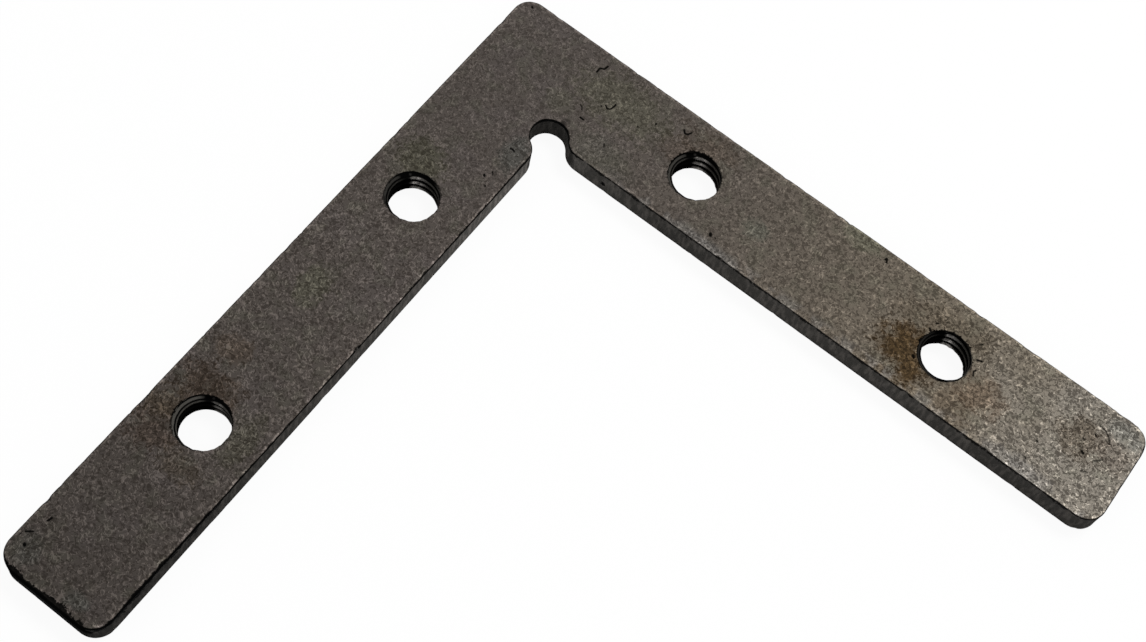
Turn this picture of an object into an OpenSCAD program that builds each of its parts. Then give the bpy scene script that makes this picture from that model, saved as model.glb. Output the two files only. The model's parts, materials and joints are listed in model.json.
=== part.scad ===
// Flat angle connector: an L-shaped steel plate that joins two slotted
// profiles at a right angle. Each arm has two tapped holes for set screws.
// The inner corner is relieved by a round notch with rounded shoulders.
// The origin is at the middle of the underside of the plate's box, with one
// arm along +X and the other along -Y from the outer corner.

/* [Plate] */
// Length of each arm along its outer edge
arm_length = 77.5; // [70:0.5:120]
// Width of each arm
arm_width = 12; // [11:0.5:16]
// Thickness of the plate
plate_thickness = 3; // [2:0.5:5]

/* [Tapped holes] */
// From the outer corner to the first hole of each arm, along the arm
first_hole_at = 26.25; // [23:0.25:34]
// From the outer corner to the second hole of each arm, along the arm
second_hole_at = 56.75; // [45:0.25:64]
// Nominal diameter of the screw thread
thread_diameter = 6; // [5:0.5:8]
// Pitch of the screw thread
thread_pitch = 1; // [0.75:0.05:1.25]

/* [Inner corner] */
// Radius of the round relief at the inner corner
relief_radius = 1.95; // [1.5:0.05:2.8]
// Radius of the shoulders between the relief and the inner edges
shoulder_radius = 2.2; // [1:0.1:3]

/* [Corners and edges] */
// Radius of the outer corner, seen from above
outer_corner_radius = 2; // [1:0.1:4]
// Radius of the two corners at the end of each arm
end_corner_radius = 2.2; // [1:0.1:4]
// Size of the edge break that runs round both faces
edge_break = 0.2; // [0.1:0.05:0.4]

/* [Hidden] */
$fn = 96;

// A tap drill is as wide as the thread less one pitch.
tap_drill_diameter = thread_diameter - thread_pitch;
hole_places = [first_hole_at, second_hole_at];

// How far a cutter reaches past the face or the edge that it cuts.
overshoot = 0.1;

// The relief is centred where the arms' inner edges would meet. Each shoulder
// is an arc that runs off an inner edge and meets the relief tangentially.
// The two arcs overlap by a hair, so that no sliver is left between them.
seam_overlap = 0.001;
relief_centre = [arm_width, arm_width];
centre_distance = relief_radius + shoulder_radius - seam_overlap;
shoulder_reach = sqrt(pow(centre_distance, 2) - pow(shoulder_radius, 2));
shoulder_start = arm_width + shoulder_reach;
shoulder_centre = [shoulder_start, arm_width - shoulder_radius];
// How far a shoulder's arc turns, from the inner edge to the relief.
shoulder_sweep = acos(shoulder_radius / centre_distance);

plate_colour = [0.36, 0.34, 0.32];

// Everything below is drawn from the outer corner, with the arms along +X and
// +Y, and is then turned and moved to the plate's own frame.
module from_outer_corner() {
    translate([-arm_length / 2, arm_length / 2, 0])
        rotate([0, 0, -90])
            children();
}

// Draws its child for the arm along +X and again for the arm along +Y.
module both_arms() {
    children();
    mirror([1, -1, 0])
        children();
}

module rounded_post(centre, radius) {
    translate(centre)
        circle(r = radius);
}

// One arm as a flat bar, with the outer corner of the plate and its own two
// end corners round.
module arm_outline() {
    end_x = arm_length - end_corner_radius;
    rounded_post([outer_corner_radius, outer_corner_radius], outer_corner_radius);
    rounded_post([end_x, end_corner_radius], end_corner_radius);
    rounded_post([end_x, arm_width - end_corner_radius], end_corner_radius);
    translate([outer_corner_radius, 0])
        square([end_x - outer_corner_radius, arm_width]);
    translate([end_x, end_corner_radius])
        square([end_corner_radius, arm_width - 2 * end_corner_radius]);
}

// What the shoulder takes off the sharp corner between relief and inner edge.
module shoulder_waste() {
    difference() {
        polygon([relief_centre, shoulder_centre, [shoulder_start, arm_width]]);
        rounded_post(shoulder_centre, shoulder_radius);
    }
}

module plate_outline() {
    difference() {
        both_arms() arm_outline();
        rounded_post(relief_centre, relief_radius);
        both_arms() shoulder_waste();
    }
}

// Section of the edge break at the upper face, with the edge itself at x = 0.
// The material lies on the side of negative x, or of positive x at a hollow.
module edge_break_section(hollow = false) {
    reach = edge_break + overshoot;
    material = hollow ? 1 : -1;
    polygon([[material * reach, plate_thickness + overshoot],
             [-material * overshoot, plate_thickness - reach],
             [-material * overshoot, plate_thickness + overshoot]]);
}

// Breaks a straight edge that runs from start at the given heading, with the
// material on its left.
module break_straight(start, heading, length) {
    translate(start)
        rotate([90, 0, heading - 90])
            translate([0, 0, -length])
                linear_extrude(height = length)
                    edge_break_section();
}

// Breaks a round edge, which is an outside corner or the rim of a hollow.
module break_round(centre, radius, from, sweep, hollow = false) {
    translate(centre)
        rotate([0, 0, from])
            rotate_extrude(angle = sweep)
                translate([radius, 0])
                    edge_break_section(hollow);
}

// The edge break of the arm along +X, from the outer corner to the relief.
module break_arm() {
    end_x = arm_length - end_corner_radius;
    break_straight([outer_corner_radius, 0], 0, end_x - outer_corner_radius);
    break_round([end_x, end_corner_radius], end_corner_radius, -90, 90);
    break_straight([arm_length, end_corner_radius], 90, arm_width - 2 * end_corner_radius);
    break_round([end_x, arm_width - end_corner_radius], end_corner_radius, 0, 90);
    break_straight([end_x, arm_width], 180, end_x - shoulder_start);
    break_round(shoulder_centre, shoulder_radius, 90, shoulder_sweep);
}

// The relief's cutter can go all the way round, because what it would take
// off the shoulders is gone already.
module break_upper_edges() {
    both_arms() break_arm();
    break_round([outer_corner_radius, outer_corner_radius], outer_corner_radius, 180, 90);
    break_round(relief_centre, relief_radius, 0, 360, hollow = true);
}

module break_edges() {
    break_upper_edges();
    translate([0, 0, plate_thickness])
        mirror([0, 0, 1])
            break_upper_edges();
}

module tap_bores() {
    for (place = hole_places)
        translate([place, arm_width / 2, -overshoot])
            cylinder(d = tap_drill_diameter, h = plate_thickness + 2 * overshoot);
}

module plate() {
    color(plate_colour)
        from_outer_corner()
            difference() {
                linear_extrude(height = plate_thickness)
                    plate_outline();
                both_arms() tap_bores();
                break_edges();
            }
}

plate();
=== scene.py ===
import json
import math
import random

import bmesh
import bpy
from mathutils import Matrix, Vector, noise
from mathutils.geometry import delaunay_2d_cdt
from mathutils.kdtree import KDTree


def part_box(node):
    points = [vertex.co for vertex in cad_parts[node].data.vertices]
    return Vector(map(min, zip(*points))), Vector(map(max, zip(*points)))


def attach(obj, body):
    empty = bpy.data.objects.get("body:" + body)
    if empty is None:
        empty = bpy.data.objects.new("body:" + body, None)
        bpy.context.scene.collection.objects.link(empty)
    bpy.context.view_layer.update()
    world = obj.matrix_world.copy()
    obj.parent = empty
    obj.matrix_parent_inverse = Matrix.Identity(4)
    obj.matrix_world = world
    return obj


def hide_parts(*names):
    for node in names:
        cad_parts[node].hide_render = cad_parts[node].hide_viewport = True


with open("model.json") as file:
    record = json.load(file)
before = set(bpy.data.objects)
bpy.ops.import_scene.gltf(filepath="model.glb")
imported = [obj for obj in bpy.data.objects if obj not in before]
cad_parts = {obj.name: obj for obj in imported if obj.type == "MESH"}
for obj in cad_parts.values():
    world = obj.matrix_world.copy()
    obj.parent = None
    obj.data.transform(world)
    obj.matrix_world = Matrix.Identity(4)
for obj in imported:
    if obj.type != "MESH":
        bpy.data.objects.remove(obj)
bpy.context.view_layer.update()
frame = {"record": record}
mm = 0.001      # in metres
hair = 0.0001   # in mm, less than any real distance
holes = [m for m in frame["record"]["mounts"] if m["kind"] == "threaded_hole"]
boreRadius = holes[0]["dims"]["r_mm"]  # of the tap drill
print("Frame loaded")


class Wire:  # a node's output, which takes part in sums
    def __init__(self, graph, socket):
        self.graph = graph
        self.socket = socket

    def __getitem__(self, output):  # another output of the same node
        return Wire(self.graph, self.socket.node.outputs[output])

    def maths(self, operation, *values):
        return self.graph.node("ShaderNodeMath", {"operation": operation}, dict(enumerate(values)))

    def __add__(self, other):
        return self.maths("ADD", self, other)

    def __radd__(self, other):
        return self.maths("ADD", other, self)

    def __sub__(self, other):
        return self.maths("SUBTRACT", self, other)

    def __rsub__(self, other):
        return self.maths("SUBTRACT", other, self)

    def __mul__(self, other):
        return self.maths("MULTIPLY", self, other)

    def __rmul__(self, other):
        return self.maths("MULTIPLY", other, self)

    def __truediv__(self, other):
        return self.maths("DIVIDE", self, other)

    def __abs__(self):
        return self.maths("ABSOLUTE", self)

    def atMost(self, limit):
        return self.maths("MINIMUM", self, limit)

    def atLeast(self, limit):
        return self.maths("MAXIMUM", self, limit)


class Graph:  # a node tree that is being filled
    def __init__(self, tree):
        self.tree = tree

    def node(self, kind, settings=None, inputs=None):
        made = self.tree.nodes.new(kind)
        for name, value in (settings or {}).items():
            setattr(made, name, value)
        for key, value in (inputs or {}).items():
            if isinstance(value, Wire):
                self.tree.links.new(value.socket, made.inputs[key])
            else:
                made.inputs[key].default_value = value
        return Wire(self, made.outputs[0]) if made.outputs else None

    def step(self, value, low, high):  # 0 at low, 1 at high, smooth between
        return self.node("ShaderNodeMapRange", {"interpolation_type": "SMOOTHSTEP"},
                         {"Value": value, "From Min": low, "From Max": high})

    def scaled(self, vector, factor):
        return self.node("ShaderNodeVectorMath", {"operation": "SCALE"}, {0: vector, "Scale": factor})

    def distance(self, place, point):
        return self.node("ShaderNodeVectorMath", {"operation": "DISTANCE"}, {0: place, 1: point})["Value"]

    def mix(self, share, first, second):
        colours = [c if isinstance(c, Wire) else (*c, 1.0) for c in (first, second)]
        return self.node("ShaderNodeMix", {"data_type": "RGBA"},
                         {0: share, 6: colours[0], 7: colours[1]})[2]

    def grain(self, place, scale, detail, distortion=0.0):
        return self.node("ShaderNodeTexNoise", None,
                         {"Vector": place, "Scale": scale, "Detail": detail, "Distortion": distortion})

    def attribute(self, name):
        return self.node("ShaderNodeAttribute", {"attribute_name": name})["Fac"]


def newObject(name, data):
    made = bpy.data.objects.new(name, data)
    bpy.context.scene.collection.objects.link(made)
    return made


def newMaterial(name):  # with the graph that fills it
    material = bpy.data.materials.new(name)
    material.use_nodes = True
    material.node_tree.nodes.clear()
    return material, Graph(material.node_tree)


camera = {
    "aim": (-15.1, 19.69, 3.0),  # mm, on the upper face
    "azimuth": 21.66,            # degrees, as are the next two
    "elevation": 63.37,
    "roll": 16.51,
    "distance": 190.1,           # mm
    "lens": 60.75,               # mm
    "sensor": 36.0,              # mm
    "shift": (-0.0236, -0.0602),
    "nearest": 0.005,            # m
}


def makeCamera():
    azimuth = math.radians(camera["azimuth"])
    elevation = math.radians(camera["elevation"])
    level = math.cos(elevation)
    back = Vector((math.sin(azimuth) * level, -math.cos(azimuth) * level, math.sin(elevation)))
    place = Vector(camera["aim"]) + camera["distance"] * back
    roll = Matrix.Rotation(math.radians(camera["roll"]), 3, "Z")
    turned = back.to_track_quat("Z", "Y").to_matrix() @ roll
    made = newObject("camera", bpy.data.cameras.new("camera"))
    made.matrix_world = Matrix.Translation(place * mm) @ turned.to_4x4()
    made.data.lens = camera["lens"]
    made.data.sensor_width = camera["sensor"]
    made.data.shift_x, made.data.shift_y = camera["shift"]
    made.data.clip_start = camera["nearest"]
    bpy.context.scene.camera = made


makeCamera()
print("Camera placed")


thread = {
    "diameter": 6.0,       # mm
    "pitch": 1.0,          # mm
    "around": 96,          # faces round a hole
    "rowsPerPitch": 16,
    "crestFlat": 0.22,     # share of the pitch
    "rootFlat": 0.12,
    "ragged": 0.10,        # mm, at the rims
    "raggedReach": 0.3,    # mm, from each face into the hole
    "raggedScale": 1.8,    # per mm
    "weld": 0.0005,        # mm
    # start is the direction in which the groove opens at the upper face, and going clockwise from the
    # second angle the crests carry painted highlight. Both are in degrees from +X. firstTurn is how much
    # the first turn shows its grey elsewhere rather than painted shade, shine is how bright the painted
    # highlight on the crests is, and burrs is how wide the burrs are.
    "perHole": {
        "x_arm_first_hole": {"start": 190, "bareFrom": 131, "firstTurn": 0.65, "shine": 1.0, "burrs": 0.7},
        "x_arm_second_hole": {"start": 235, "bareFrom": 122, "firstTurn": 0.25, "shine": 1.2, "burrs": 0.9},
        "y_arm_first_hole": {"start": 165, "bareFrom": 138, "firstTurn": 0.40, "shine": 1.0, "burrs": 0.2},
        "y_arm_second_hole": {"start": 175, "bareFrom": 116, "firstTurn": 1.0, "shine": 0.5, "burrs": 0.45},
    },
}


def pointCloud(name, places, angles):
    mesh = bpy.data.meshes.new(name)
    mesh.from_pydata(places, [], [])
    turn = mesh.attributes.new("startAngle", "FLOAT", "POINT")
    turn.data.foreach_set("value", angles)
    return newObject(name, mesh)


def threadTree():  # a threaded wall at each point, from the underside up to the upper face
    tree = bpy.data.node_groups.new("tappedHoles", "GeometryNodeTree")
    tree.interface.new_socket("Geometry", in_out="OUTPUT", socket_type="NodeSocketGeometry")
    tree.interface.new_socket("Geometry", in_out="INPUT", socket_type="NodeSocketGeometry")
    for name in ("Drill Radius", "Thread Radius", "Pitch", "Thickness",
                 "Crest Flat", "Root Flat", "Ragged"):
        tree.interface.new_socket(name, in_out="INPUT", socket_type="NodeSocketFloat")
    for name in ("Around", "Rows"):
        tree.interface.new_socket(name, in_out="INPUT", socket_type="NodeSocketInt")
    tree.interface.new_socket("Material", in_out="INPUT", socket_type="NodeSocketMaterial")
    g = Graph(tree)
    given = g.node("NodeGroupInput")
    thickness, drillRadius = given["Thickness"], given["Drill Radius"]

    # a flat sheet, whose columns go round the hole and whose rows go up
    sheet = g.node("GeometryNodeMeshGrid", None,
                   {"Size X": 1.0, "Size Y": 1.0,
                    "Vertices X": given["Around"] + 1, "Vertices Y": given["Rows"] + 1})
    place = g.node("ShaderNodeSeparateXYZ", None, {0: g.node("GeometryNodeInputPosition")})
    turn = 0.5 - place["X"]
    height = (place["Y"] + 0.5) * thickness
    phase = turn.maths("FRACT", (height - thickness) / given["Pitch"] - turn)
    ridge = abs(phase * 2.0 - 1.0)
    groove = (ridge - given["Crest Flat"]) / (1.0 - given["Crest Flat"] - given["Root Flat"])
    groove = groove.atLeast(0.0).atMost(1.0)
    angle = turn * math.tau
    cosine, sine = angle.maths("COSINE", angle), angle.maths("SINE", angle)

    # the rims are ragged, mostly outwards
    toFace = g.node("ShaderNodeMapRange", None,
                    {"Value": abs(height - thickness * 0.5), "From Max": thickness * 0.5,
                     "From Min": thickness * 0.5 - thread["raggedReach"]})
    onBore = g.node("ShaderNodeCombineXYZ", None, {0: cosine * boreRadius, 1: sine * boreRadius, 2: height})
    torn = g.grain(onBore, thread["raggedScale"], 2.0)
    radius = (drillRadius + (given["Thread Radius"] - drillRadius) * groove
              + toFace * given["Ragged"] * (torn * 3.0 - 1.2))
    placed = g.node("ShaderNodeCombineXYZ", None, {0: radius * cosine, 1: radius * sine, 2: height})
    for name, domain, value in (("threadDepth", "POINT", groove), ("inThread", "FACE", 1.0)):
        sheet = g.node("GeometryNodeStoreNamedAttribute", {"data_type": "FLOAT", "domain": domain},
                       {"Geometry": sheet, "Name": name, "Value": value})
    wall = g.node("GeometryNodeSetPosition", None, {"Geometry": sheet, "Position": placed})
    wall = g.node("GeometryNodeMergeByDistance", None, {"Geometry": wall, "Distance": thread["weld"]})

    startAngle = g.node("GeometryNodeInputNamedAttribute", {"data_type": "FLOAT"}, {"Name": "startAngle"})
    spun = g.node("ShaderNodeCombineXYZ", None, {2: startAngle})
    walls = g.node("GeometryNodeInstanceOnPoints", None,
                   {"Points": given["Geometry"], "Instance": wall, "Rotation": spun})
    real = g.node("GeometryNodeRealizeInstances", None, {"Geometry": walls})
    finished = g.node("GeometryNodeSetMaterial", None, {"Geometry": real, "Material": given["Material"]})
    g.node("NodeGroupOutput", None, {0: finished})
    return tree


def setInputs(modifier, values):  # by the sockets' identifiers
    for item in modifier.node_group.interface.items_tree:
        if item.item_type == "SOCKET" and item.in_out == "INPUT" and item.name in values:
            modifier[item.identifier] = values[item.name]


def toMesh(made):  # the evaluated object as a plain mesh, without its modifiers
    graph = bpy.context.evaluated_depsgraph_get()
    mesh = bpy.data.meshes.new_from_object(made.evaluated_get(graph))
    bpy.data.objects.remove(made)
    return mesh


def makeThreads(thickness, material):
    places = [(h["pos_m"][0] / mm, h["pos_m"][1] / mm, 0.0) for h in holes]
    angles = [math.radians(thread["perHole"][h["name"]]["start"]) for h in holes]
    made = pointCloud("tappedHoles", places, angles)
    modifier = made.modifiers.new("tappedHoles", "NODES")
    modifier.node_group = threadTree()
    setInputs(modifier, {
        "Drill Radius": boreRadius,
        "Thread Radius": thread["diameter"] / 2,
        "Pitch": thread["pitch"],
        "Thickness": thickness,
        "Crest Flat": thread["crestFlat"],
        "Root Flat": thread["rootFlat"],
        "Ragged": thread["ragged"],
        "Around": thread["around"],
        "Rows": round(thickness / thread["pitch"] * thread["rowsPerPitch"]),
        "Material": material,
    })
    return toMesh(made)


steel = {
    "left": (0.058, 0.0497, 0.0442),     # the plain tone of the plate
    "right": (0.098, 0.083, 0.063),      # the warmer tone of the arm along +X, lighter too: partly painted sheen
    "bright": (0.099, 0.089, 0.075),     # painted sheen, with some rubbed wear, at the end of that arm
    "olive": (0.060, 0.062, 0.044),
    "purple": (0.068, 0.058, 0.058),
    "grey": (0.096, 0.091, 0.087),       # along the inner edge of that arm
    "oxide": (0.040, 0.038, 0.035),      # skin of the cut walls
    "worn": (0.078, 0.072, 0.066),       # streaks on them
    "hollow": (0.014, 0.010, 0.007),     # at the bottom of the grain
    "black": (0.002, 0.002, 0.002),
    "crest": (0.36, 0.34, 0.32),         # painted highlight on the thread crests where light reaches them
    "dull": (0.076, 0.072, 0.064),       # the first turn of a thread elsewhere
    "sooty": (0.004, 0.004, 0.004),      # painted shade on the deeper turns
    "oliveShare": 0.22,
    "purpleShare": 0.18,
    "greyShare": 0.40,
    "sootShare": 0.95,
    "curlScale": 1.6,                    # per mm, the light curls of the grain
    "wormScale": 2.8,                    # the dark worms between them
    "cloudScale": 0.22,                  # wide changes of tone
    "patchScale": 0.55,                  # smaller ones
    "fleckScale": 1.6,                   # flecks of painted highlight on the rims
    "streakScale": 2.4,                  # streaks on the walls
    "breakScale": 1.5,                   # breaks in the shine of the crests
    "curlGain": 1.8,                     # times the contrast, as is the next one
    "wormGain": 0.84,
    "bump": 0.02,                        # mm
    "roughness": 0.56,
    "metal": 0.9,
    "rubbedWave": 14.0,                  # mm, how wavy the border of the painted sheen and rubbed wear at the end is
    "rimShift": 0.25,                    # mm, how much wider the rim is where the groove opens
    "burrReach": (2.76, 0.16),           # mm from a hole's middle, and what burrs add to it
    "burrBorder": 0.12,                  # mm
    "burrLine": (2.90, 2.80),            # mm, the thin line outside the burrs
    "burrLineShare": 0.7,
    "firstTurn": (2.15, 2.35),           # mm, the height from which a turn is the first one
    "crestBase": 0.25,                   # share of the shine that is left where it breaks
    "endWall": (-36.8, -37.6),           # mm along Y, the black end of the arm along -Y
    "endSlant": (0.12, 38.75),           # its slope, and mm from the outer edge to the origin
    "pitReach": (0.40, 0.22),            # mm
    "topLine": 2.64,                     # mm, the height that the black line hangs down to
    "wallPit": (-19.75, 26.75, 1.35),    # a black pit in the wall beside the notch
    "relief": (-26.75, 26.75, 1.5),      # the middle of the notch
    "stainWave": (2.2, 1.6),             # how far patches and worms move a stain's border
    "stains": [                          # centre and reach in mm, share, colour
        ((14.8, 30.6), (4.2, 4.0), 0.95, (0.035, 0.022, 0.010)),
        ((13.9, 34.6), (4.0, 2.2), 0.30, (0.050, 0.036, 0.022)),
        ((17.6, 36.2), (4.6, 1.9), 0.65, (0.062, 0.051, 0.037)),
        ((22.7, 31.2), (3.4, 2.4), 0.45, (0.084, 0.056, 0.036)),
        ((21.2, 28.6), (3.0, 1.8), 0.34, (0.060, 0.040, 0.024)),
        ((-13.6, 36.6), (4.0, 2.2), 0.45, (0.048, 0.036, 0.026)),
        ((-16.0, 34.0), (2.4, 1.8), 0.45, (0.048, 0.036, 0.027)),
        ((-34.8, -15.4), (4.2, 2.8), 0.74, (0.034, 0.024, 0.017)),
        ((-36.2, -21.0), (2.8, 3.0), 0.60, (0.038, 0.027, 0.020)),
        ((-36.9, -18.5), (2.0, 2.2), 0.60, (0.040, 0.031, 0.021)),
        ((-35.4, -10.8), (2.2, 1.8), 0.45, (0.054, 0.039, 0.027)),
        ((-31.8, -22.4), (2.8, 1.6), 0.45, (0.044, 0.034, 0.022)),
        ((-29.2, -17.0), (1.7, 3.4), 0.55, (0.052, 0.050, 0.036)),
        ((-34.8, 16.0), (3.4, 3.2), 0.60, (0.042, 0.042, 0.027)),
        ((-34.2, -0.8), (1.8, 2.8), 0.45, (0.056, 0.058, 0.038)),
        ((-23.2, 34.6), (6.6, 3.4), 0.42, (0.064, 0.064, 0.043)),
        ((-21.4, 28.4), (4.4, 2.4), 0.26, (0.058, 0.062, 0.047)),
        ((-28.4, 30.8), (1.8, 1.8), 0.35, (0.062, 0.062, 0.044)),
        ((-28.2, 22.8), (1.7, 2.8), 0.70, (0.050, 0.050, 0.045)),
        ((-4.6, 31.7), (1.8, 1.5), 0.40, (0.070, 0.078, 0.062)),
        ((4.6, 38.0), (3.0, 1.4), 0.42, (0.080, 0.084, 0.058)),
        ((33.2, 33.8), (3.0, 2.8), 0.72, (0.046, 0.037, 0.027)),
        ((36.0, 34.0), (2.4, 2.8), 0.50, (0.062, 0.051, 0.041)),
        ((36.8, 37.0), (2.6, 1.4), 0.45, (0.082, 0.084, 0.076)),
        ((29.5, 27.4), (4.0, 1.2), 0.50, (0.106, 0.101, 0.094)),
        ((-7.6, 27.0), (5.0, 0.8), 0.50, (0.086, 0.083, 0.079)),
        ((-37.0, -36.4), (1.8, 2.0), 0.40, (0.050, 0.053, 0.046)),
        ((-30.5, -37.2), (1.6, 1.0), 0.40, (0.046, 0.052, 0.046)),
    ],
}


# What the steel's shader knows at a point. A mask is 1 where its name holds and 0 elsewhere, and
# the two numbers of a step along x, y or z are the places in mm between which it changes.
class Surface:
    def __init__(self, g):
        self.place = g.scaled(g.node("ShaderNodeTexCoord")["Object"], 1 / mm)
        axes = g.node("ShaderNodeSeparateXYZ", None, {0: self.place})
        x, y, z = axes["X"], axes["Y"], axes["Z"]
        self.x, self.y, self.z = x, y, z
        self.wall = g.attribute("wall")
        self.inThread = g.attribute("inThread")
        self.threadDepth = g.attribute("threadDepth")
        self.mark = g.attribute("mark")

        curls = g.grain(self.place, steel["curlScale"], 0.0, 1.4)
        self.worms = g.grain(self.place, steel["wormScale"], 1.0, 1.0)
        self.light = g.step(abs(curls - 0.5), 0.10, 0.0)
        self.dark = g.step(self.worms, 0.54, 0.34)
        self.cloud = g.grain(self.place, steel["cloudScale"], 2.5)
        self.patch = g.grain(self.place, steel["patchScale"], 2.0)

        self.upper = g.step(z, 1.0, 2.0)
        # the end of the arm along +X: painted sheen with some rubbed wear, lighter and less rough
        self.rubbedAndSheen = g.step(x + (self.cloud - 0.5) * steel["rubbedWave"], 18.0, 34.0) * self.upper
        self.onWall = g.step(self.wall, 0.30, 0.50)
        # the notch, whose wall gets painted shade and whose rim gets no painted highlight
        self.atNotch = g.step(g.distance(self.place, steel["relief"]), 3.6, 2.9)
        self.leftInner = g.step(x, -22.0, -26.0) * g.step(x, -34.0, -30.0) * g.step(y, 34.0, 30.0)
        self.rightInner = g.step(x, -25.0, -23.0) * g.step(y, 28.5, 27.5)
        self.leftInnerNear = self.leftInner * g.step(y, -30.0, -16.0)


def faceTone(g, at):
    x, y, patch = at.x, at.y, at.patch
    # from the plain tone to the warmer one of the arm along +X, partly painted sheen that grows towards its
    # end
    tone = g.mix(g.step(x, -30.0, 34.0), steel["left"], steel["right"])
    tone = g.mix(at.rubbedAndSheen, tone, steel["bright"])
    tone = g.mix(g.step(patch, 0.50, 0.70) * steel["oliveShare"], tone, steel["olive"])
    purpleCloud = g.step(at.cloud, 0.52, 0.34) * g.step(x, -4.0, -24.0)
    tone = g.mix(purpleCloud * steel["purpleShare"], tone, steel["purple"])
    alongEdge = g.step(y, 28.3, 27.3) * g.step(x, -22.0, -16.0) * g.step(patch, 0.44, 0.56)
    tone = g.mix(alongEdge * steel["greyShare"], tone, steel["grey"])

    stained = 0.0
    patchWave, wormWave = steel["stainWave"]
    for centre, reach, share, colour in steel["stains"]:
        across = (x - centre[0]) / reach[0]
        along = (y - centre[1]) / reach[1]
        away = across * across + along * along + (patch - 0.5) * patchWave + (at.worms - 0.5) * wormWave
        part = g.step(away, 1.1, 0.1) * at.upper * share
        tone = g.mix(part, tone, colour)
        stained = part + stained

    # grain: light curls with dark worms between them, with more contrast where the painted sheen is
    nearCorner = g.step(y, 4.0, 24.0)
    rightArm = g.step(x, -16.0, 4.0)
    contrast = 0.50 - 0.16 * nearCorner + 0.07 * rightArm + 0.38 * at.rubbedAndSheen + 0.25 * stained
    tone = g.scaled(tone, 1.0 + contrast * steel["curlGain"] * at.light)
    tone = g.mix(contrast * (steel["wormGain"] - 0.30 * at.rubbedAndSheen) * at.dark, tone, steel["hollow"])
    # painted shade: darker along the arm along -Y towards its end; painted light: a little lighter at the
    # outer corner
    outerCorner = 0.05 * g.step(y, 30.0, 37.0) * g.step(x, -28.0, -32.0)
    tone = g.scaled(tone, 0.80 + 0.20 * g.step(y, -38.0, 6.0) + outerCorner)

    # rims: a painted highlight along them, broken into flecks
    flecks = g.step(g.grain(at.place, steel["fleckScale"], 2.0), 0.48, 0.62)
    rimHighlight = g.step(at.wall, 0.0, 0.12) * g.step(at.wall, 0.45, 0.25) * at.upper * (1.0 - at.atNotch)
    return g.scaled(tone, 1.0 + rimHighlight * (0.20 + (0.90 + 0.7 * at.leftInner) * flecks))


# Dark oxide with streaks from face to face. It is black along the upper edge, painted shade with some dirt,
# and at the end of the arm along -Y, and less so along the lower edge. That arm's inner wall darkens
# towards its end.
def wallTone(g, at):
    x, y, z, worms = at.x, at.y, at.z, at.worms
    stretch = (1.0, 1.0, 0.25)
    stretched = g.node("ShaderNodeVectorMath", {"operation": "MULTIPLY"}, {0: at.place, 1: stretch})
    streaks = g.step(g.grain(stretched, steel["streakScale"], 2.0), 0.40, 0.70)
    tone = g.mix(streaks, steel["oxide"], steel["worn"])
    lighter = 1.1 * g.step(y, -40.0, 24.0) + 0.7 * g.step(y, 6.0, 22.0) - 0.36
    tone = g.scaled(tone, 0.86 + at.leftInner * lighter)
    shoulder = g.step(x, -10.0, -20.0) * g.step(x, -26.0, -24.6) * g.step(y, 34.0, 30.0)
    middle = g.step(abs(x - 8.0), 24.0, 8.0) * g.step(y, 28.0, 27.0)
    tone = g.scaled(tone, 1.0 + 0.36 * shoulder + 0.26 * middle)

    # painted shade under the upper edge, with some dirt: the black line, how far down it hangs and how
    # black it is
    lowest = steel["topLine"] + 0.13 * at.leftInnerNear + 0.04 * at.rightInner - 0.30 * at.atNotch
    wave = 1.8 - 1.0 * at.leftInnerNear - 0.9 * at.rightInner - 0.8 * at.atNotch
    lowest = lowest + wave * (worms + at.patch - 1.0)
    lowest = lowest - 0.55 * at.leftInner * g.step(y, -12.0, -36.0)
    blackest = 0.6 + 0.4 * at.leftInner + 0.3 * at.rightInner + 0.4 * at.atNotch
    black = g.step(z - lowest, 0.0, 0.15) * blackest + g.step(z, 0.35, 0.15) * 0.5
    # painted shade: the wall of the notch stays mostly black
    black = black.atMost(1.0).atLeast(0.72 * at.atNotch)
    slope, toOrigin = steel["endSlant"]
    black = black.atLeast(g.step(y + slope * (x + toOrigin), *steel["endWall"]))
    pit = g.distance(at.place, steel["wallPit"]) + (worms - 0.5) * 0.6
    black = black.atLeast(g.step(pit, *steel["pitReach"]))
    return g.mix(black, tone, steel["black"])


def tornEdges(g, at):  # black along the inner edge and the end of the arm along -Y
    x, y, z = at.x, at.y, at.z
    torn = (at.worms - 0.5) * 0.8 + (at.patch - 0.5) * 1.2
    end = g.step(y + torn, -38.2, -38.38)
    wider = 0.14 * g.step(y, -22.0, -34.0) + 0.06 * g.step(y, -4.0, 16.0) - 0.02 * at.leftInnerNear
    side = g.step(x + torn * 0.5 + wider, -26.88, -26.76)
    side = side * g.step(y, 30.0, 28.0) * g.step(x, -26.0, -26.4) * g.step(z, 2.62, 2.78)
    return end, side
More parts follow.
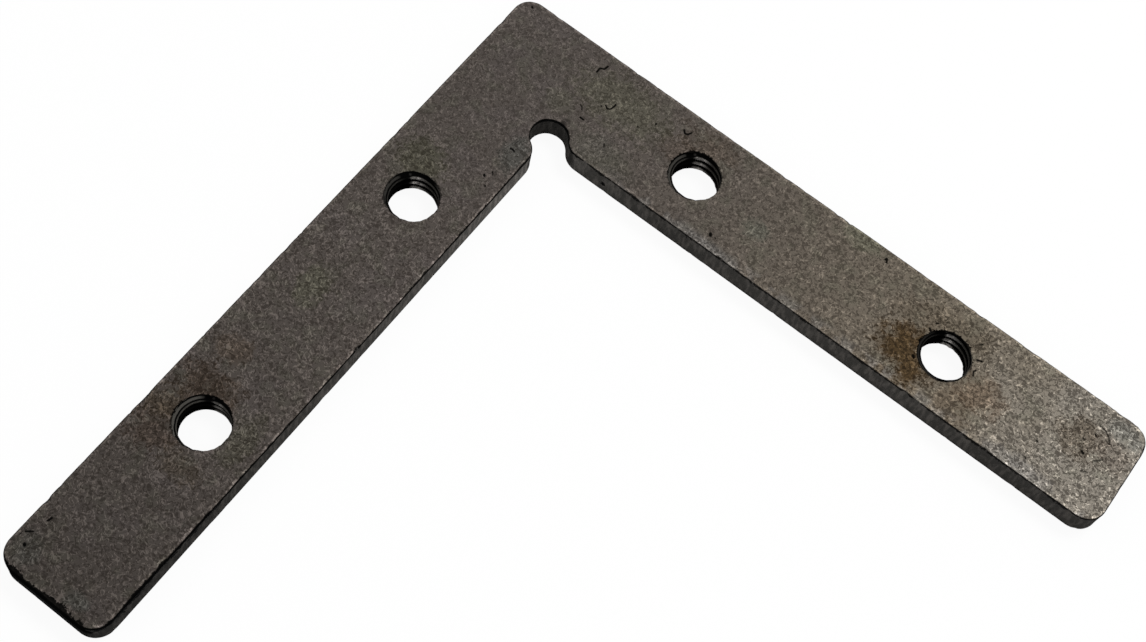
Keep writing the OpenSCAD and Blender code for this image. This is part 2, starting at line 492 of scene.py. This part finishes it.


# Masks summed over the holes: black burrs along the rim, the side on which the crests carry painted
# highlight, the top of that side, where the first turn shows elsewhere, and that painted highlight itself.
def roundHoles(g, at):
    burred, litSide, topSide, shown, lit = 0.0, 0.0, 0.0, 0.0, 0.0
    for hole in holes:
        look = thread["perHole"][hole["name"]]
        across = at.x - hole["pos_m"][0] / mm
        along = at.y - hole["pos_m"][1] / mm
        squared = across * across + along * along
        away = squared.maths("SQRT", squared)

        start = math.radians(look["start"])
        opening = (across * math.cos(start) + along * math.sin(start)) / away
        edge = away - steel["rimShift"] * opening
        reach, growth = steel["burrReach"]
        limit = reach + growth * look["burrs"]
        ragged = edge + (at.worms - 0.5) * 0.5 + (at.patch - 0.5) * 0.9
        burr = g.step(ragged, limit, limit - steel["burrBorder"])
        burrSide = (along - 0.6 * across) / away  # about 1 towards +Y and a little towards -X
        thinLine = g.step(edge + (at.worms - 0.5) * 0.4, *steel["burrLine"]) * g.step(burrSide, -0.9, -0.3)
        burred = burred + burr * g.step(burrSide, -0.3, 0.5) + thinLine * steel["burrLineShare"]

        bareFrom = math.radians(look["bareFrom"])
        past = (across * math.sin(bareFrom) - along * math.cos(bareFrom)) / away
        ahead = (across * math.cos(bareFrom) + along * math.sin(bareFrom)) / away
        near = g.step(away, 3.6, 3.2)
        side = near * g.step(past, -0.06, 0.12)
        litSide = litSide + side
        topSide = topSide + side * g.step(ahead, 0.2, 0.6)
        shown = shown + near * look["firstTurn"] * g.step(past, -0.15, -0.50)
        shine = side * look["shine"] * g.step(past, 0.0, 0.16) * g.step(past, 0.78, 0.26)
        lit = lit + shine * g.step(ahead, 0.0, 0.2)
    return burred, litSide, topSide, shown, lit


def threadTone(g, at, litSide, topSide, shown, lit):  # painted shade, with some grime, in the grooves and on the deeper turns; painted highlight along the lit crests
    broken = g.step(g.grain(at.place, steel["breakScale"], 2.0), 0.46, 0.60)
    shown = shown.atLeast(litSide * 0.80)
    firstTurn = g.step(at.z + (at.worms - 0.5) * 0.3, *steel["firstTurn"]) * shown
    crest = g.mix(firstTurn.atLeast(litSide * 0.65), steel["sooty"], steel["dull"])
    left = steel["crestBase"]
    crest = g.mix(lit * (left + (1.0 - left) * broken), crest, steel["crest"])
    flank = g.step(firstTurn, 0.1, 0.3) * (1.0 - topSide) * g.step(at.threadDepth, 0.38, 0.50)
    groove = g.step(at.threadDepth - 0.12 * lit, 0.0, 0.24)
    shade = groove * (1.0 - flank) + g.step(at.threadDepth, 0.76, 0.90)
    return g.mix(shade.atMost(1.0), crest, steel["black"])


def makeSteel():
    material, g = newMaterial("dullSteel")
    at = Surface(g)
    burred, litSide, topSide, shown, lit = roundHoles(g, at)
    tone = g.mix(at.onWall, faceTone(g, at), wallTone(g, at))
    tone = g.mix(at.inThread, tone, threadTone(g, at, litSide, topSide, shown, lit))
    tornEnd, tornSide = tornEdges(g, at)
    soot = (burred + tornEnd + tornSide) * at.upper * (1.0 - at.inThread) + g.step(at.mark, 0.12, 0.62)
    soot = soot.atMost(1.0)
    tone = g.mix(soot * steel["sootShare"], tone, steel["black"])

    bump = g.node("ShaderNodeBump", None, {"Strength": 1.0, "Distance": steel["bump"] * mm,
                                           "Height": at.light - at.dark + at.patch * 0.5})
    rough = steel["roughness"] - 0.08 * at.rubbedAndSheen + 0.12 * at.dark + 0.10 * at.onWall
    # metal share: less on the walls and the black, and in the threads only on the crests with painted
    # highlight
    metalShare = (1.0 - 0.85 * at.onWall) * (1.0 - soot) * (1.0 - at.inThread * (1.0 - lit))
    shader = g.node("ShaderNodeBsdfPrincipled", None,
                    {"Base Color": tone, "Metallic": metalShare * steel["metal"], "Roughness": rough,
                     "Normal": bump, "Specular IOR Level": 0.0})
    g.node("ShaderNodeOutputMaterial", None, {"Surface": shader})
    return material


steelMaterial = makeSteel()
print("Steel made")


plate = {
    "armWidth": 12.0,            # mm, as are the lengths below
    "outerCorner": 2.0,
    "endCorner": 2.2,
    "relief": 1.95,
    "shoulder": 2.2,
    "lineStep": 0.25,
    "arcStep": 0.12,
    "edgeBreak": (0.12, 0.22),   # least and most
    "breakScales": (0.9, 3.1),   # per mm, slow and fine changes of the edge break
    "tornEdge": 1.5,             # times as much along the inner edge and the end of the arm along -Y
    "tornInner": -24.0,          # the inner edge is torn beyond this Y
    "tornEnd": -38.0,            # and the end beyond this one
    "edgeRows": 5,
    "wallRows": 6,
    "rimWidth": 0.22,
    "rimShare": 0.12,            # wall share where the edge break begins
    "uneven": 0.03,              # how far the walls dip, on average
    "unevenScale": 0.9,          # per mm
    "chips": (170, 40),          # on the upper face and on the underside
    "chipDepth": (0.05, 0.24),
    "chipLength": (0.2, 0.9),
    "sheetStep": 0.9,
    "clearOfRims": 0.28,         # points of the sheet keep off the rims and the marks
    "clearOfMarks": 0.35,
    "weld": 0.0004,
    "sharpFrom": 27,             # degrees between two faces
    "markReach": 4.0,            # a mark is nowhere farther from its first point
    "markBlack": 0.08,           # a mark of this depth is black
    "marks": [                   # a path, half width, depth
        ([(-27.6, 36.0), (-27.6, 36.6), (-27.2, 36.8), (-27.1, 37.3)], 0.09, 0.10),
        ([(-26.6, 31.8), (-26.3, 31.7), (-26.1, 31.4)], 0.07, 0.05),
        ([(-25.7, 30.6), (-25.3, 30.6)], 0.10, 0.10),
        ([(-24.5, 33.4), (-24.2, 33.2), (-23.9, 33.4), (-23.8, 33.9), (-23.8, 34.2)], 0.08, 0.08),
        ([(-24.9, 33.1), (-24.8, 33.0)], 0.08, 0.05),
        ([(-22.0, 29.7), (-21.8, 29.4)], 0.07, 0.06),
        ([(-19.3, 35.1), (-19.3, 35.0)], 0.09, 0.07),
        ([(-20.6, 33.6), (-20.5, 33.5)], 0.08, 0.05),
        ([(-19.0, 34.6), (-18.5, 34.3), (-18.2, 34.8)], 0.07, 0.03),
        ([(-16.7, 36.4), (-16.4, 36.1), (-16.1, 36.2), (-15.9, 36.6)], 0.09, 0.10),
        ([(-7.8, 28.5), (-7.7, 28.3)], 0.16, 0.16),
        ([(-7.2, 28.4), (-7.1, 28.3)], 0.08, 0.06),
        ([(7.5, 37.6), (7.6, 37.8), (7.8, 37.4)], 0.09, 0.09),
        ([(-29.1, 19.1), (-29.0, 19.0)], 0.12, 0.10),
        ([(-28.3, 18.2), (-28.2, 18.1)], 0.08, 0.07),
        ([(-28.7, 19.9), (-28.4, 19.6)], 0.08, 0.05),
        ([(-28.9, 23.1), (-28.7, 23.2), (-28.4, 23.1)], 0.08, 0.08),
        ([(-28.9, 23.9), (-28.8, 24.3)], 0.07, 0.04),
        ([(-37.4, -36.2), (-37.3, -36.3)], 0.15, 0.14),
        ([(-37.3, -33.4), (-37.2, -33.0)], 0.10, 0.08),
        ([(-38.4, -35.8), (-38.2, -35.4), (-37.6, -34.9)], 0.09, 0.07),
        ([(32.3, 35.6), (32.9, 35.8)], 0.08, 0.03),
        ([(33.9, 36.3), (34.5, 36.2), (35.2, 35.8), (35.6, 35.2)], 0.09, 0.04),
        ([(35.7, 35.0), (36.0, 34.4)], 0.08, 0.02),
        ([(34.7, 31.0), (35.3, 31.3)], 0.10, 0.04),
        ([(36.3, 31.5), (36.8, 31.6)], 0.08, 0.03),
        ([(35.2, 32.7), (35.6, 33.0), (35.9, 33.4)], 0.09, 0.04),
        ([(33.2, 34.1), (33.4, 34.0)], 0.09, 0.05),
        ([(29.6, 28.7), (29.8, 28.6)], 0.10, 0.05),
        ([(33.8, 32.8), (34.0, 32.7)], 0.13, 0.08),
        ([(34.0, 35.2), (34.1, 35.1)], 0.10, 0.06),
        ([(29.7, 30.9), (29.8, 30.8)], 0.09, 0.06),
        ([(20.0, 35.9), (20.2, 36.1)], 0.08, 0.05),
        ([(20.6, 34.3), (21.1, 34.5)], 0.09, 0.08),
        ([(21.1, 33.3), (21.0, 33.0), (21.2, 32.6)], 0.08, 0.07),
        ([(15.3, 35.0), (15.5, 35.2)], 0.08, 0.06),
        ([(16.0, 35.7), (16.2, 35.8)], 0.08, 0.04),
        ([(15.4, 33.9), (15.1, 34.1)], 0.10, 0.08),
        ([(15.3, 30.6), (15.5, 30.4)], 0.10, 0.08),
        ([(-37.5, 37.9), (-37.3, 37.8)], 0.10, 0.10),
    ],
    "seed": 11,
}


def arc(centre, radius, start, turn):
    count = max(3, round(abs(turn) * radius / plate["arcStep"]))
    angles = [start + turn * i / count for i in range(count + 1)]
    return [centre + radius * Vector((math.cos(a), math.sin(a))) for a in angles]


def line(start, end):
    count = max(1, round((end - start).length / plate["lineStep"]))
    return [start.lerp(end, i / count) for i in range(count + 1)]


def halfOutline(length):  # from the outer corner along one arm to the inner corner
    width, outer, end = plate["armWidth"], plate["outerCorner"], plate["endCorner"]
    relief, shoulder = plate["relief"], plate["shoulder"]
    far = length - end
    reach = math.sqrt((relief + shoulder) ** 2 - shoulder ** 2)
    sweep = math.acos(shoulder / (relief + shoulder))
    quarter = math.pi / 2
    return (arc(Vector((outer, outer)), outer, -1.5 * quarter, quarter / 2)
            + line(Vector((outer, 0)), Vector((far, 0)))
            + arc(Vector((far, end)), end, -quarter, quarter)
            + line(Vector((length, end)), Vector((length, width - end)))
            + arc(Vector((far, width - end)), end, 0.0, quarter)
            + line(Vector((far, width)), Vector((width + reach, width)))
            + arc(Vector((width + reach, width - shoulder)), shoulder, quarter, sweep)
            + arc(Vector((width, width)), relief, sweep - quarter, -sweep - quarter / 2))


def plateOutline(lo, hi):
    half = halfOutline((hi.x - lo.x) / mm)
    both = half + [Vector((p.y, p.x)) for p in reversed(half)]
    corner = Vector((lo.x, hi.y)) / mm
    placed = [Vector((corner.x + p.x, corner.y - p.y)) for p in reversed(both)]
    return [p for i, p in enumerate(placed) if (p - placed[i - 1]).length > hair]


def outwardNormals(outline):
    normals = []
    for i in range(len(outline)):
        along = (outline[(i + 1) % len(outline)] - outline[i - 1]).normalized()
        normals.append(Vector((along.y, -along.x)))
    return normals


def edgeBreaks(outline, seed, chips):  # size of the edge break at each point, chips included
    draw = random.Random(seed)
    least, most = plate["edgeBreak"]
    slowScale, fineScale = plate["breakScales"]
    sizes = []
    for p in outline:
        slow = noise.noise(Vector((p.x * slowScale, p.y * slowScale, seed))) * 0.5 + 0.5
        fine = noise.noise(Vector((p.x * fineScale, p.y * fineScale, seed + 5))) * 0.5 + 0.5
        size = least + (most - least) * (0.5 * slow + 0.5 * fine)
        onInner = -28.0 < p.x < -26.0 and p.y < plate["tornInner"]
        torn = plate["tornEdge"] if onInner or p.y < plate["tornEnd"] else 1.0
        sizes.append(torn * size)
    for _ in range(chips):
        centre = draw.choice(outline)
        depth = draw.uniform(*plate["chipDepth"]) * draw.random()
        length = draw.uniform(*plate["chipLength"])
        for i, p in enumerate(outline):
            away = (p - centre).length / length
            if away < 1:
                sizes[i] += depth * (1 - away * away) ** 2
    return sizes


def sideRings(breaks, thickness):  # inset, z and wall share at each point, ring by ring downwards
    top, bottom = breaks
    rows, wallRows = plate["edgeRows"], plate["wallRows"]
    least = plate["rimShare"]
    rounding = []
    for k in range(rows + 1):
        turn = k / rows * math.pi / 2
        rounding.append((1 - math.sin(turn), 1 - math.cos(turn), least + (1 - least) * k / rows))
    rings = [[(b + plate["rimWidth"], thickness, 0.0) for b in top]]
    for inset, drop, share in rounding:
        rings.append([(b * inset, thickness - b * drop, share) for b in top])
    for k in range(1, wallRows):
        part = k / wallRows
        rings.append([(0.0, (thickness - t) * (1 - part) + b * part, 1.0) for t, b in zip(top, bottom)])
    for inset, drop, share in reversed(rounding):
        rings.append([(b * inset, b * drop, share) for b in bottom])
    rings.append([(b + plate["rimWidth"], 0.0, 0.0) for b in bottom])
    return rings


def addSides(mesh, outline, rings, wallLayer):  # gives the vertices, ring by ring
    normals = outwardNormals(outline)
    grid = []
    for ring in rings:
        row = []
        for p, n, (inset, z, share) in zip(outline, normals, ring):
            dip = 0.0
            if share > 0.99:  # on the wall itself
                spot = Vector((p.x, p.y, z * 0.5)) * plate["unevenScale"]
                dip = plate["uneven"] * (noise.noise(spot) + 1)
            at = p - n * (inset + dip)
            vertex = mesh.verts.new((at.x, at.y, z))
            vertex[wallLayer] = share
            row.append(vertex)
        grid.append(row)
    for upper, lower in zip(grid, grid[1:]):
        for i in range(len(outline)):
            mesh.faces.new((upper[i - 1], lower[i - 1], lower[i], upper[i]))
    return grid


def distanceTo(p, a, b):
    along = min(max((p - a).dot(b - a) / (b - a).length_squared, 0), 1)
    return (p - a.lerp(b, along)).length


def markDepth(p):  # how deep the marks go at a point, and how dark they are there
    deep, dark = 0.0, 0.0
    for path, half, depth in plate["marks"]:
        if (Vector(path[0]) - p).length > plate["markReach"]:
            continue
        ends = [Vector(q) for q in path]
        nearest = min(distanceTo(p, a, b) for a, b in zip(ends, ends[1:]))
        share = math.exp(-(nearest / half) ** 2)
        deep = max(deep, depth * share)
        dark = max(dark, share * min(1.0, depth / plate["markBlack"]))
    return deep, dark


def markPoints():  # a fine grid along each mark and round its ends, in shares of its half width
    points = []
    for path, half, _ in plate["marks"]:
        ends = [Vector(p) for p in path]
        for a, b in zip(ends, ends[1:]):
            count = max(2, round((b - a).length / (half * 0.6)))
            side = (b - a).normalized().orthogonal() * half * 0.7
            for i in range(count + 1):
                points += [a.lerp(b, i / count) + side * k for k in range(-3, 4)]
        for end, nextTo in ((ends[0], ends[1]), (ends[-1], ends[-2])):
            heading = (end - nextTo).normalized() * half
            side = heading.orthogonal()
            for k in (1, 2):
                points += [end + heading * k * 0.8 + side * s * 0.8 for s in range(-2, 3)]
    return points


def insideSheet(p, lo, hi):  # on the plate, seen from above
    u, v = p.x - lo.x / mm, hi.y / mm - p.y
    length, width = (hi.x - lo.x) / mm, plate["armWidth"]
    onArm = (0 < u < length and 0 < v < width) or (0 < u < width and 0 < v < length)
    return onArm and math.hypot(u - width, v - width) > plate["relief"]


def gapFinder(points):  # a function that gives the distance to the nearest of these points
    tree = KDTree(max(1, len(points)))
    for i, p in enumerate(points):
        tree.insert((p.x, p.y, 0), i)
    tree.balance()
    return lambda p: tree.find((p.x, p.y, 0))[2]


def sheetPoints(lo, hi, marked, seed):
    draw = random.Random(seed)
    step = plate["sheetStep"]
    gapToMarks = gapFinder(marked)
    points = list(marked)
    rows = round((hi.y - lo.y) / mm / step)
    for row in range(rows):
        for column in range(rows):
            p = Vector((lo.x / mm + (column + 0.5 * (row % 2) + draw.uniform(0.3, 0.7)) * step,
                        lo.y / mm + (row + draw.uniform(0.3, 0.7)) * step))
            clear = not marked or gapToMarks(p) > plate["clearOfMarks"]
            if clear and insideSheet(p, lo, hi):
                points.append(p)
    return points


def sheetFaces(ring, rims, inner):  # triangles between the outline and the rims
    points = list(ring)
    loops = [list(range(len(ring)))]
    for rimHighlight in rims:
        loops.append(list(range(len(points), len(points) + len(rimHighlight))))
        points += rimHighlight
    gapToRims = gapFinder(points)
    points += [p for p in inner if gapToRims(p) > plate["clearOfRims"]]
    edges = [(loop[i - 1], loop[i]) for loop in loops for i in range(len(loop))]
    tolerance = 1e-6
    verts, _, faces, _, _, owners = delaunay_2d_cdt(points, edges, loops, 0, tolerance)
    return verts, [f for f, owner in zip(faces, owners) if list(owner) == [0]]  # outside the holes


def rimLoops(mesh, height):  # the threads' end rings, hole by hole, in order round each
    loops = []
    for hole in holes:
        centre = Vector(hole["pos_m"][:2]) / mm
        ring = [v.co.xy for v in mesh.vertices
                if abs(v.co.z - height) < hair and (v.co.xy - centre).length < thread["diameter"]]
        loops.append(sorted(ring, key=lambda p: math.atan2(p.y - centre.y, p.x - centre.x)))
    return loops


def addSheet(mesh, sheet, height, up, markLayer):
    points, faces = sheet
    made = []
    for p in points:
        deep, dark = markDepth(p) if up else (0.0, 0.0)
        vertex = mesh.verts.new((p.x, p.y, height - deep))
        vertex[markLayer] = dark
        made.append(vertex)
    for face in faces:
        mesh.faces.new([made[i] for i in (face if up else reversed(face))])


def makePlate(material):
    lo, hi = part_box("plate")
    thickness = (hi.z - lo.z) / mm
    threads = makeThreads(thickness, material)
    print("Threads made:", len(threads.polygons), "faces")

    outline = plateOutline(lo, hi)
    seed = plate["seed"]
    breaks = [edgeBreaks(outline, seed + side, plate["chips"][side]) for side in (0, 1)]
    mesh = bmesh.new()
    wallLayer = mesh.verts.layers.float.new("wall")
    markLayer = mesh.verts.layers.float.new("mark")
    grid = addSides(mesh, outline, sideRings(breaks, thickness), wallLayer)
    sheets = ((grid[0], thickness, markPoints(), True), (grid[-1], 0.0, [], False))
    for row, height, marked, up in sheets:
        inner = sheetPoints(lo, hi, marked, seed + 1 if up else seed)
        sheet = sheetFaces([v.co.xy for v in row], rimLoops(threads, height), inner)
        addSheet(mesh, sheet, height, up, markLayer)

    mesh.from_mesh(threads)
    bmesh.ops.remove_doubles(mesh, verts=mesh.verts, dist=plate["weld"])
    loose = [v for v in mesh.verts if not v.link_faces]
    bmesh.ops.delete(mesh, geom=loose, context="VERTS")
    bmesh.ops.recalc_face_normals(mesh, faces=mesh.faces)
    bmesh.ops.triangulate(mesh, faces=mesh.faces)
    openEdges = sum(1 for e in mesh.edges if len(e.link_faces) != 2)
    print("Plate:", len(mesh.faces), "triangles,", openEdges, "open edges, volume",
          round(mesh.calc_volume(), 1), "mm3")
    bmesh.ops.scale(mesh, vec=(mm, mm, mm), verts=mesh.verts)
    data = bpy.data.meshes.new("steelPlate")
    mesh.to_mesh(data)
    mesh.free()
    data.materials.clear()
    data.materials.append(material)
    data.shade_smooth()
    data.set_sharp_from_angle(angle=math.radians(plate["sharpFrom"]))
    made = newObject("steelPlate", data)
    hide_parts("plate")
    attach(made, "root")


makePlate(steelMaterial)
print("Plate made")


studio = {
    "floorSize": 8.0,            # m
    "floorTone": 0.97,
    "floorGlow": 0.93,           # what the camera sees of the floor without any light
    "worldLight": 0.55,
    "lamps": {                   # direction, distance and size in m, power in W
        "key": ((0.15, 0.49, 0.86), 0.8, 0.3, 3.0),
        "fill": ((-0.6, -0.5, 0.8), 0.9, 0.5, 0.6),
    },
}
white = (1.0, 1.0, 1.0, 1.0)


def seenDirectly(g):  # 1 for rays that show the background, 0 for rays that only carry its light
    path = g.node("ShaderNodeLightPath")
    seen = path["Is Camera Ray"] + path["Is Glossy Ray"] + path["Is Transmission Ray"]
    return seen.atMost(1.0)


def makeFloor():
    material, g = newMaterial("paleFloor")
    tone = studio["floorTone"]
    shade = g.node("ShaderNodeBsdfDiffuse", None, {"Color": (tone, tone, tone, 1.0)})
    glow = g.node("ShaderNodeEmission", None, {"Color": white, "Strength": 1.0})
    share = seenDirectly(g) * studio["floorGlow"]
    both = g.node("ShaderNodeMixShader", None, {0: share, 1: shade, 2: glow})
    g.node("ShaderNodeOutputMaterial", None, {"Surface": both})
    size = studio["floorSize"] / 2
    mesh = bpy.data.meshes.new("floor")
    corners = [(-size, -size, 0), (size, -size, 0), (size, size, 0), (-size, size, 0)]
    mesh.from_pydata(corners, [], [(0, 1, 2, 3)])
    mesh.materials.append(material)
    newObject("floor", mesh)


def makeWorld():
    world = bpy.data.worlds.new("studio")
    bpy.context.scene.world = world
    world.use_nodes = True
    world.node_tree.nodes.clear()
    g = Graph(world.node_tree)
    level = studio["worldLight"]
    strength = level + seenDirectly(g) * (1.0 - level)
    sky = g.node("ShaderNodeBackground", None, {"Color": white, "Strength": strength})
    g.node("ShaderNodeOutputWorld", None, {"Surface": sky})


def softLamp(name, direction, distance, size, power):
    lamp = bpy.data.lights.new(name, "AREA")
    lamp.shape = "DISK"
    lamp.size = size
    lamp.energy = power
    heading = Vector(direction).normalized()
    turned = heading.to_track_quat("Z", "Y").to_matrix()
    made = newObject(name, lamp)
    made.matrix_world = Matrix.Translation(heading * distance) @ turned.to_4x4()


makeFloor()
makeWorld()
for name, values in studio["lamps"].items():
    softLamp(name, *values)
bpy.context.scene.view_settings.view_transform = "Standard"
print("Studio lit")
